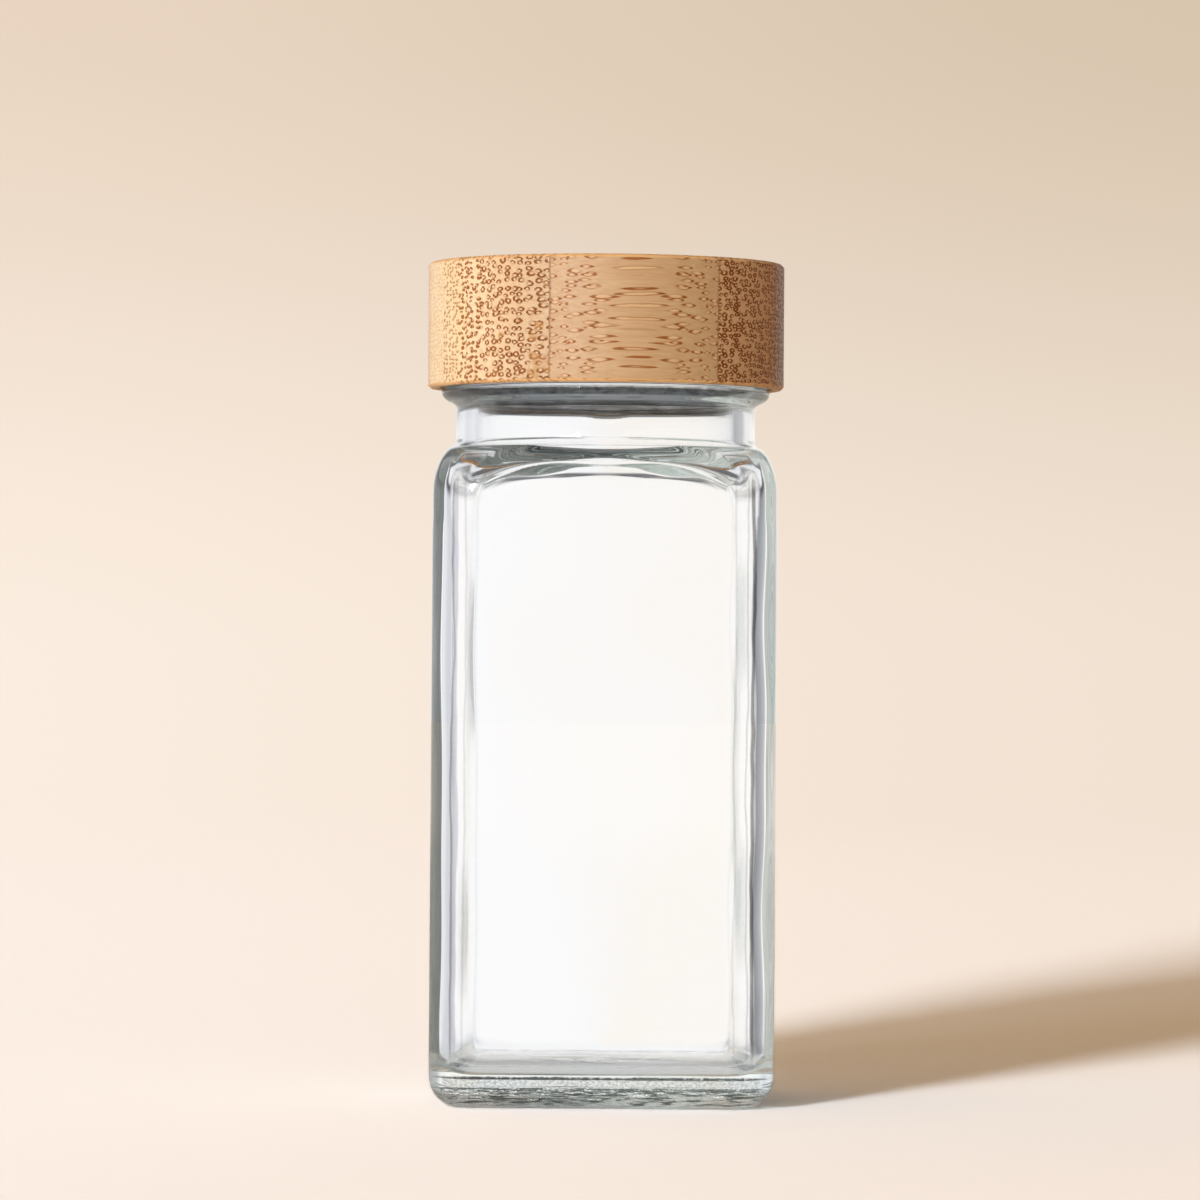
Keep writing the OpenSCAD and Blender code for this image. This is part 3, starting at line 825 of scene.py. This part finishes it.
def floor_paper(s):
    """Paper that takes the shadow. Farther off it becomes the backdrop, and through glass it is the room's colour."""
    f = new_finish("backdrop paper")
    place = f.place()
    x, y, z = f.split(place)
    far = (x * x + y * y) ** 0.5
    path = f.node("LightPath")
    camera, through = Num(f.tree, path["Is Camera Ray"]), Num(f.tree, path["Is Transmission Ray"])
    mottle = f.noise(place, 55, 4)
    side = (x / (far + 0.85)).step(-0.12, 0.12)
    colour = f.mix(mottle.step(0.25, 0.8), bright(s.floor, 0.985), tuple(s.floor))
    # a painted line of light in front of the jar, where the heel would gather the light
    line = abs(y + 0.0245 + x * x * 3).step(0.0016, 0.0004) * abs(x).step(0.021, 0.015)
    colour = f.mix(line * 0.8, colour, (1.0, 0.97, 0.94))
    # painted shade: the paper is darker at the right
    colour = f.times(colour, f.mix(side, *PAPER_SIDES))
    lit = f.mix(camera, colour, f.times(colour, (FLOOR_GAIN,) * 3))
    paper = f.node("BsdfDiffuse", None, {"Color": lit})[0]
    distant = f.times(tuple(s.horizon), f.mix(side, *HORIZON_SIDES))
    back = f.node("Emission", None, {"Color": distant, "Strength": 1.0})[0]
    seen = f.node("MixShader", None, {0: far.step(0.55, 1.9), 1: paper, 2: back})[0]
    # painted shadow: through the glass the paper right under the jar is darker
    under = f.mix(y.step(-0.002, 0.018), (0.58, 0.59, 0.59), (0.98, 0.98, 0.99))
    glow = f.mix(far.step(0.028, 0.05), under, room(f, x, y))
    white = f.node("Emission", None, {"Color": f.times(glow, (WHITE,) * 3), "Strength": 1.0})[0]
    return f.surface(f.node("MixShader", None, {0: through, 1: seen, 2: white})[0])


def studio_world(s):
    """Backdrop for the camera, a lit studio for glass and gloss, and a soft warm fill for everything else."""
    world = bpy.data.worlds.new("studio")
    bpy.context.scene.world = world
    f = Finish(world)
    x, y, z = f.split(f.node("TexCoord")["Generated"])
    path = f.node("LightPath")
    camera = Num(f.tree, path["Is Camera Ray"])
    gloss = Num(f.tree, path["Is Glossy Ray"]).most(Num(f.tree, path["Is Transmission Ray"]))
    # painted shade: the backdrop darkens upwards and to the right
    backdrop = f.mix(z.step(0.0, 0.11), tuple(s.horizon), tuple(s.zenith))
    shade = f.mix(z.step(0.0, 0.11), HORIZON_SIDES[1], TOP_RIGHT)
    backdrop = f.times(backdrop, f.mix(x.step(-0.12, 0.12), HORIZON_SIDES[0], shade))
    # two light boxes high up behind the jar, with a gap between them
    boxes = z.step(0.36, 0.44) * z.step(0.70, 0.62) * (y / (x * x + y * y) ** 0.5).step(0.95, 0.90)
    boxes = boxes * y.step(0.2, 0.4)
    above = f.mix(boxes, (0.11, 0.11, 0.115), (0.85, 0.86, 0.88))
    around = f.mix(z.step(0.17, 0.36), room(f, x, y), above)
    around = f.times(around, (WHITE,) * 3)
    fill = f.mix(z.step(0.0, 0.9), (0.91, 0.69, 0.48), (0.077, 0.060, 0.038))
    fill = f.times(fill, f.mix(x.step(0.6, -0.6), (0.38, 0.38, 0.38), (1.62, 1.62, 1.62)))
    seen = f.mix(gloss, fill, around)
    seen = f.mix(camera, seen, backdrop)
    return f.surface(f.node("Background", None, {"Color": seen, "Strength": 1.0})[0])


# ---------------------------------------------------------------- operators


class SPICEJAR_OT_stage(bpy.types.Operator):
    """Sets up the camera, the paper floor, the backdrop and the lamps"""

    bl_idname = "spicejar.stage"
    bl_label = "Stage"

    def execute(self, context):
        s = context.scene.spicejar_stage
        scene = context.scene
        scene.view_settings.view_transform = "Standard"
        bpy.ops.object.camera_add(
            location=(-0.0005, -s.distance, s.height),
            rotation=(math.radians(90.67), math.radians(-0.4), 0),
        )
        camera = context.object
        camera.data.lens, camera.data.sensor_width = s.lens, 36.0
        camera.data.clip_start, camera.data.clip_end = 0.01, 50
        scene.camera = camera
        bpy.ops.object.select_all(action="DESELECT")
        bpy.ops.mesh.primitive_circle_add(vertices=96, radius=7, fill_type="NGON", location=(0, 0, 0))
        floor = settle(context.object, "floor")
        floor.data.materials.append(floor_paper(s))
        studio_world(s)
        cool = (0.76, 0.86, 1.0)
        self.lamp("key", (-0.166, -0.43, 0.172), 0.036, 79.5, cool)
        self.lamp("side", (-0.24, -0.40, 0.20), 0.045, 6, cool)
        return {"FINISHED"}

    def lamp(self, name, place, radius, strength, colour):
        """A round lamp whose light on the floor is even: it doesn't weaken with distance."""
        bpy.ops.object.light_add(type="POINT", location=place)
        lamp = bpy.context.object
        lamp.name, lamp.data.name = name, name
        lamp.data.shadow_soft_size = radius
        lamp.data.energy = 1.0
        lamp.visible_transmission = False
        f = Finish(lamp.data)
        falloff = f.num("LightFalloff", "Constant", None, {"Strength": strength})
        length = f.num("LightPath", "Ray Length")
        glow = f.node("Emission", None, {"Color": colour, "Strength": falloff * length})[0]
        out = f.tree.nodes.new("ShaderNodeOutputLight")
        f.tree.links.new(glow, out.inputs[0])


class SPICEJAR_OT_glass(bpy.types.Operator):
    """Builds the square glass jar with its domed shoulder, bead and thread"""

    bl_idname = "spicejar.glass"
    bl_label = "Glass jar"

    def execute(self, context):
        s = context.scene.spicejar_glass
        rings, first, last = glass_rings(s)
        jar = settle(drawn_from_ball(rings, first, last), "jar_glass", 50)
        jar.data.materials.append(clear_glass(s))
        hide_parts("glass_jar")
        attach(jar, "jar")
        return {"FINISHED"}


class SPICEJAR_OT_shaker(bpy.types.Operator):
    """Builds the snap-in sieve with its seven holes"""

    bl_idname = "spicejar.shaker"
    bl_label = "Shaker insert"

    def execute(self, context):
        s = context.scene.spicejar_lid
        top, under = SHAKER_HIGH.z, SHAKER_HIGH.z - 0.7 * MM
        flange, plug_r, inner = SHAKER_HIGH.x, 16.6 * MM, 15.7 * MM
        foot = SHAKER_LOW.z
        e, bead, bend = 0.15 * MM, 0.24 * MM, 0.3 * MM  # the flange's edge, the snap bead and the inner bend
        profile = [
            (flange - e, top), (flange - 0.3 * e, top - 0.3 * e), (flange, top - e), (flange, under + e),
            (flange - e, under), (plug_r, under), (plug_r, foot + 0.9 * MM), (plug_r + bead, foot + 0.75 * MM),
            (plug_r + bead, foot + 0.3 * MM), (plug_r, foot), (inner, foot), (inner, under - bend),
            (inner - bend, under),
        ]
        shaker = turned(profile, 96)
        cutters = []
        hole, circle = 2.3 * MM, 9.6 * MM  # radius of a hole, and of the circle that six of them stand on
        for i in range(7):
            a = math.radians(60 * i)
            r = 0 if i == 6 else circle
            place = (r * math.cos(a), r * math.sin(a), top - 0.3 * MM)
            bpy.ops.object.select_all(action="DESELECT")
            bpy.ops.mesh.primitive_cylinder_add(vertices=40, radius=hole, depth=3 * MM, location=place)
            cutters.append(context.object)
        for cutter in cutters:
            cutter.select_set(True)
        bpy.ops.object.join()
        cutter = context.object
        modify(shaker, "BOOLEAN", object=cutter, operation="DIFFERENCE", solver="EXACT")
        bpy.data.objects.remove(cutter)
        modify(shaker, "BEVEL", width=0.12 * MM, segments=2, limit_method="ANGLE", angle_limit=math.radians(60))
        shaker = settle(shaker, "shaker_sieve", 40)
        shaker.data.materials.append(moulded_plastic("natural polypropylene", s.shaker, 0.3))
        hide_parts("shaker_insert")
        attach(shaker, "shaker")
        return {"FINISHED"}


class SPICEJAR_OT_seal(bpy.types.Operator):
    """Builds the soft disc that seals the lid on the mouth"""

    bl_idname = "spicejar.seal"
    bl_label = "Sealing disc"

    def execute(self, context):
        s = context.scene.spicejar_lid
        r, low, high = SEAL_HIGH.x, SEAL_LOW.z, SEAL_HIGH.z
        e = 0.25 * MM  # rounding of its edges
        profile = [(r * 0.5, high), (r - e, high)] + arc((r - e, high - e), e, 90, 0, 4)[1:]
        profile += arc((r - e, low + e), e, 0, -90, 4) + [(r * 0.5, low)]
        seal = settle(turned(profile, 128), "sealing_disc", 40)
        seal.data.materials.append(moulded_plastic("soft white seal", s.seal, 0.7))
        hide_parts("seal_disc")
        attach(seal, "seal")
        return {"FINISHED"}


class SPICEJAR_OT_liner(bpy.types.Operator):
    """Builds the threaded plastic liner inside the bamboo"""

    bl_idname = "spicejar.liner"
    bl_label = "Threaded liner"

    def execute(self, context):
        s = context.scene.spicejar_lid
        g = context.scene.spicejar_glass
        t = np.arange(192) / 192 * math.tau
        outer, bore = LINER_HIGH.x, 21.0 * MM
        low, high = LINER_LOW.z, LINER_HIGH.z
        ceiling = SEAL_HIGH.z
        e, fillet = 0.2 * MM, 0.3 * MM
        skin = arc((outer - e, high - e), e, 90, 0, 3)
        skin += [(outer, z) for z in np.linspace(high - 1 * MM, low + 1 * MM, 10)]
        skin += arc((outer - e, low + e), e, 0, -90, 3) + arc((bore + e, low + e), e, 270, 180, 3)
        rings = [ring_at(t, outer * i / 4, high) for i in range(1, 4)] + [ring_at(t, r, z) for r, z in skin]
        start_turn = 0.3
        # its thread lies under the jar's, flank on flank
        start = g.bead_top + THREAD_START + g.thread_pitch * start_turn - 1.636 * MM
        for z in np.linspace(low + 0.3 * MM, ceiling - 0.6 * MM, 62):
            out = helix_height(t, z, start, g.thread_pitch, 1.05, start_turn, 1.1 * MM)
            rings.append(ring_at(t, bore - out, z))
        rings += [ring_at(t, r, z) for r, z in arc((bore - fillet, ceiling - fillet), fillet, 0, 90, 4)]
        rings += [ring_at(t, bore * i / 5, ceiling) for i in (4, 3, 2, 1)]
        liner = settle(drawn_from_ball(rings, (0, 0, high), (0, 0, ceiling)), "threaded_liner", 40)
        liner.data.materials.append(moulded_plastic("white polypropylene", s.liner, 0.42))
        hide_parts("cap_liner")
        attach(liner, "lid")
        return {"FINISHED"}


class SPICEJAR_OT_bamboo(bpy.types.Operator):
    """Turns the bamboo lid and parts it into its six glued strips"""

    bl_idname = "spicejar.bamboo"
    bl_label = "Bamboo lid"

    def execute(self, context):
        s = context.scene.spicejar_lid
        r, c, low, high = s.radius, s.chamfer, s.low, s.high
        worn, ease = 0.02 * MM, c + 0.06 * MM  # the chamfers' own edges are eased
        profile = [(r - c - 4 * MM, high), (r - ease, high), (r - c, high - worn), (r - worn, high - c)]
        profile += [(r, high - ease)]
        profile += [(r, z) for z in np.linspace(high - 1 * MM, low + 1 * MM, 8)]
        profile += [(r, low + ease), (r - worn, low + c), (r - c, low + worn), (r - ease, low)]
        profile += [(s.bore, low), (s.bore, s.ceiling)]
        block = turned(profile, 256)
        normal = (math.sin(s.turn), -math.cos(s.turn), 0)
        faces = [r + MM, r - s.face_strip]
        while len(faces) < len(STRIPS):
            faces.append(faces[-1] - s.strip)
        faces.append(-r - MM)
        for i, (front, back) in enumerate(zip(faces, faces[1:])):
            pick(block)
            bpy.ops.object.duplicate()
            strip = context.object
            for level, outer in ((front, True), (back, False)):
                if abs(level) > r:
                    continue
                in_edit_mode(strip)
                bpy.ops.mesh.select_all(action="SELECT")
                bpy.ops.mesh.bisect(
                    plane_co=tuple(n * level for n in normal), plane_no=normal, use_fill=True,
                    clear_outer=outer, clear_inner=not outer,
                )
                in_object_mode()
            strip = settle(strip, "lid_" + STRIPS[i], 30)
            strip.data.materials.append(bamboo("bamboo %d" % (i + 1), s, i))
            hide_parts(STRIPS[i])
            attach(strip, "lid")
        bpy.data.objects.remove(block)
        return {"FINISHED"}


class SPICEJAR_PT_panel(bpy.types.Panel):
    """Lists the pieces of the spice jar"""

    bl_idname = "SPICEJAR_PT_panel"
    bl_label = "Spice jar"
    bl_space_type = "VIEW_3D"
    bl_region_type = "UI"
    bl_category = "Spice jar"

    def draw(self, context):
        for group in GROUPS:
            box = self.layout.box()
            settings = getattr(context.scene, group)
            for key in settings.__annotations__:
                box.prop(settings, key)
        for operator in OPERATORS:
            self.layout.operator(operator.bl_idname)


OPERATORS = (
    SPICEJAR_OT_stage, SPICEJAR_OT_glass, SPICEJAR_OT_shaker,
    SPICEJAR_OT_seal, SPICEJAR_OT_liner, SPICEJAR_OT_bamboo,
)
GROUPS = {"spicejar_glass": GlassSizes, "spicejar_lid": LidSizes, "spicejar_stage": StageLook}
CLASSES = (*GROUPS.values(), *OPERATORS, SPICEJAR_PT_panel)


def register():
    for item in CLASSES:
        bpy.utils.register_class(item)
    for name, group in GROUPS.items():
        setattr(bpy.types.Scene, name, PointerProperty(type=group))


def unregister():
    for name in GROUPS:
        delattr(bpy.types.Scene, name)
    for item in reversed(CLASSES):
        bpy.utils.unregister_class(item)


def main():
    register()
    bpy.ops.spicejar.stage()
    bpy.ops.spicejar.glass()
    bpy.ops.spicejar.shaker()
    bpy.ops.spicejar.seal()
    bpy.ops.spicejar.liner()
    bpy.ops.spicejar.bamboo()


if __name__ == "__main__":
    main()
